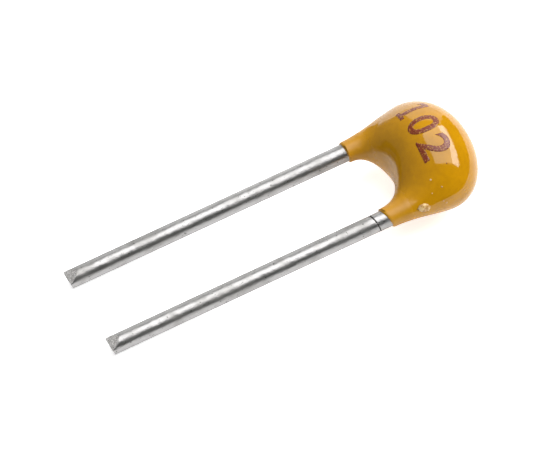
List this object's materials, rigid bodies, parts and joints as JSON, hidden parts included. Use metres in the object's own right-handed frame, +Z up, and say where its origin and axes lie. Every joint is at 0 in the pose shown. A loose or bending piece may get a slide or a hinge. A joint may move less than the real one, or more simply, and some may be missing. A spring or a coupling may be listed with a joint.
{
  "type": "dipped radial multilayer ceramic capacitor",
  "caption": "Small glossy mustard epoxy bead with an arch between parallel straight tinned wire leads; a through-hole capacitor that stores charge between plates in a ceramic chip.",
  "frame": {"origin": "on the floor, under the middle of the box round the part as it lies at rest", "axes": "+X along the wires from their tips towards the dome, +Y to the left of that, +Z up from the floor"},
  "size_m": [0.0114, 0.0035, 0.0025],
  "materials": {
    "epoxy": "glossy dipped epoxy, mustard yellow",
    "tinned_wire": "bright tinned copper",
    "ceramic": "fired barium titanate, matt tan",
    "end_cap": "fired silver with a tin skin",
    "solder": "dull solder",
    "plate_metal": "fired nickel film"
  },
  "bodies": {
    "root": {"epoxy_coating": "epoxy", "lead_left": "tinned_wire", "lead_right": "tinned_wire", "ceramic_block": "ceramic", "termination_left": "end_cap", "termination_right": "end_cap", "solder_left": "solder", "solder_right": "solder", "electrode_01": "plate_metal", "electrode_02": "plate_metal", "electrode_03": "plate_metal", "electrode_04": "plate_metal", "electrode_05": "plate_metal", "electrode_06": "plate_metal", "electrode_07": "plate_metal", "electrode_08": "plate_metal", "electrode_09": "plate_metal", "electrode_10": "plate_metal", "electrode_11": "plate_metal"}
  },
  "joints": []
}
